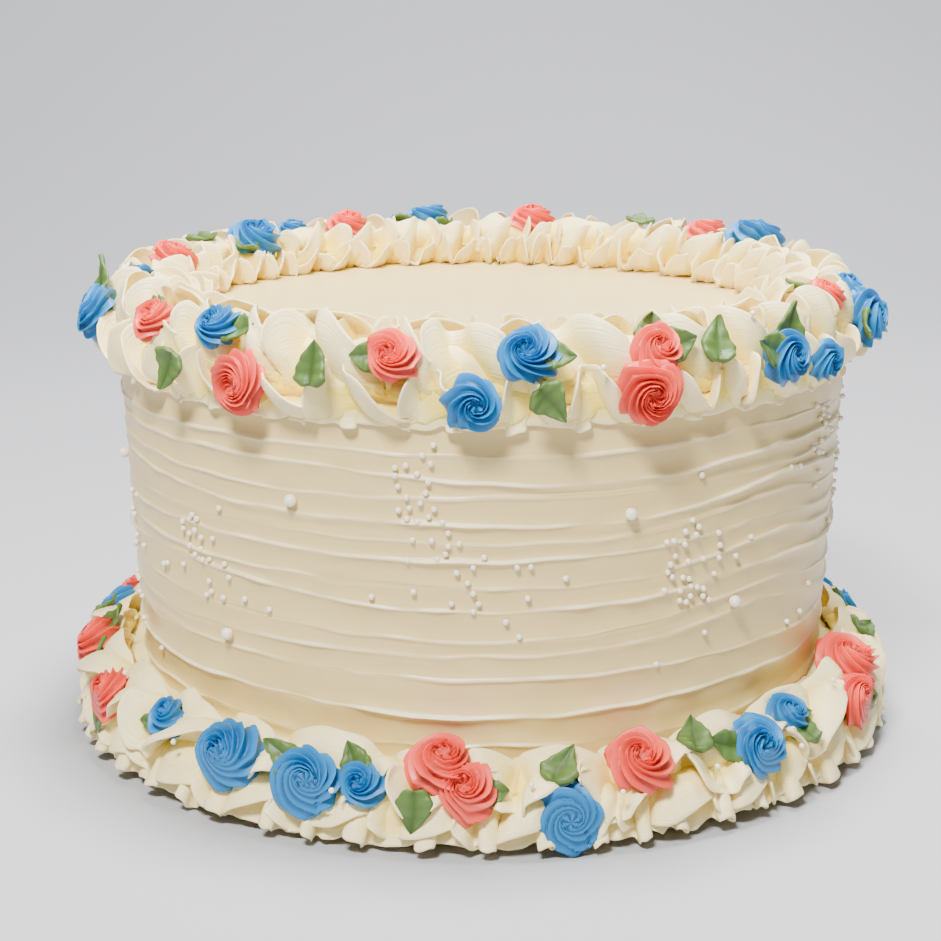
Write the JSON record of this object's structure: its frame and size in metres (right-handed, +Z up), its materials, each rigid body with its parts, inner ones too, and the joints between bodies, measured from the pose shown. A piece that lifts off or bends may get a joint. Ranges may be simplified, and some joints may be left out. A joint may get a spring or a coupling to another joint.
{
  "type": "round buttercream cake",
  "caption": "Round iced celebration cake with a piped ruffle border at the top edge and foot, set with piped swirl roses and leaves.",
  "frame": {"origin": "centre of the cake's flat underside", "axes": "+Z up through the flat top; -Y towards the front"},
  "size_m": [0.3503, 0.3523, 0.1967],
  "materials": {
    "smooth_icing": "smooth ivory buttercream with a soft satin sheen",
    "piped_icing": "piped ivory buttercream, soft satin",
    "blue_icing": "piped blue buttercream, satin",
    "coral_icing": "piped coral pink buttercream, satin",
    "green_icing": "piped leaf green buttercream, matt"
  },
  "bodies": {
    "root": {"cake_body": "smooth_icing", "foot_border": "piped_icing", "foot_leaf_01": "green_icing", "foot_leaf_02": "green_icing", "foot_leaf_03": "green_icing", "foot_leaf_04": "green_icing", "foot_leaf_05": "green_icing", "foot_rose_blue_02": "blue_icing", "foot_rose_blue_05": "blue_icing", "foot_rose_blue_06": "blue_icing", "foot_rose_blue_07": "blue_icing", "foot_rose_blue_08": "blue_icing", "foot_rose_blue_11": "blue_icing", "foot_rose_blue_13": "blue_icing", "foot_rose_blue_14": "blue_icing", "foot_rose_blue_17": "blue_icing", "foot_rose_blue_18": "blue_icing", "foot_rose_blue_20": "blue_icing", "foot_rose_blue_22": "blue_icing", "foot_rose_coral_01": "coral_icing", "foot_rose_coral_03": "coral_icing", "foot_rose_coral_04": "coral_icing", "foot_rose_coral_09": "coral_icing", "foot_rose_coral_10": "coral_icing", "foot_rose_coral_12": "coral_icing", "foot_rose_coral_15": "coral_icing", "foot_rose_coral_16": "coral_icing", "foot_rose_coral_19": "coral_icing", "foot_rose_coral_21": "coral_icing", "foot_rose_coral_23": "coral_icing", "top_border": "piped_icing", "top_leaf_01": "green_icing", "top_leaf_02": "green_icing", "top_leaf_03": "green_icing", "top_leaf_04": "green_icing", "top_leaf_05": "green_icing", "top_leaf_06": "green_icing", "top_rose_blue_01": "blue_icing", "top_rose_blue_03": "blue_icing", "top_rose_blue_06": "blue_icing", "top_rose_blue_07": "blue_icing", "top_rose_blue_10": "blue_icing", "top_rose_blue_11": "blue_icing", "top_rose_blue_13": "blue_icing", "top_rose_blue_14": "blue_icing", "top_rose_blue_15": "blue_icing", "top_rose_blue_18": "blue_icing", "top_rose_blue_20": "blue_icing", "top_rose_blue_21": "blue_icing", "top_rose_blue_23": "blue_icing", "top_rose_coral_02": "coral_icing", "top_rose_coral_04": "coral_icing", "top_rose_coral_05": "coral_icing", "top_rose_coral_08": "coral_icing", "top_rose_coral_09": "coral_icing", "top_rose_coral_12": "coral_icing", "top_rose_coral_16": "coral_icing", "top_rose_coral_17": "coral_icing", "top_rose_coral_19": "coral_icing", "top_rose_coral_22": "coral_icing"}
  },
  "joints": []
}
